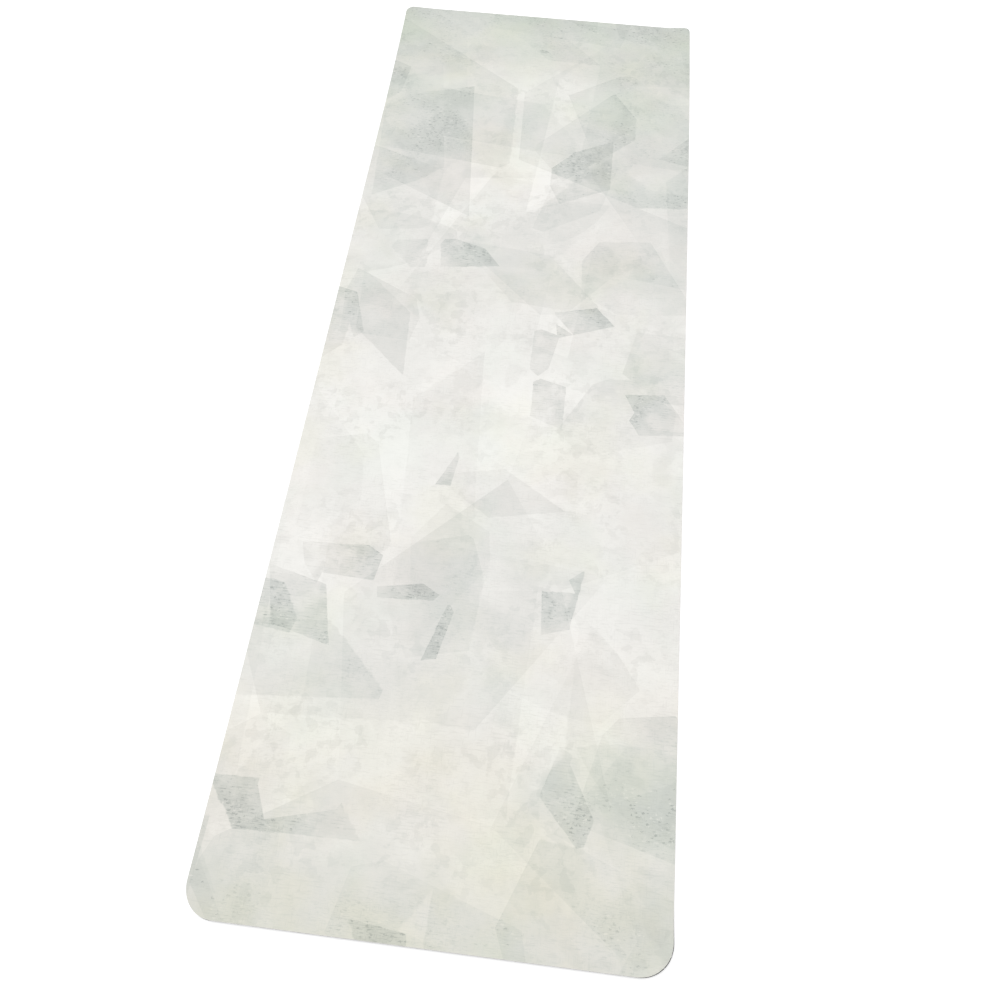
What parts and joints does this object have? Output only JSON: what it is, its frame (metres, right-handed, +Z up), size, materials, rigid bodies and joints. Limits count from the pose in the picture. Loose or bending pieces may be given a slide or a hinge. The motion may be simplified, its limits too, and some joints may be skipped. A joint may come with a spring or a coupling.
{
  "type": "yoga mat",
  "caption": "Thin rectangular exercise mat with round corners: printed microfibre cloth bonded to a rubber base with a moulded chevron grip underneath.",
  "frame": {"origin": "middle of the underside, on the floor that the mat lies on", "axes": "+Y along the mat's length, +Z up out of the printed face, +X across the width, to the right when looking along +Y"},
  "size_m": [0.61, 1.78, 0.0035],
  "materials": {
    "printed_microfibre": "matt suede nap with a pale cream and grey-green printed pattern",
    "dried_adhesive": "translucent satin film",
    "natural_rubber": "matt, slightly tacky, finely pored"
  },
  "bodies": {
    "root": {"top_cloth": "printed_microfibre", "adhesive_film": "dried_adhesive", "rubber_base": "natural_rubber"}
  },
  "joints": []
}
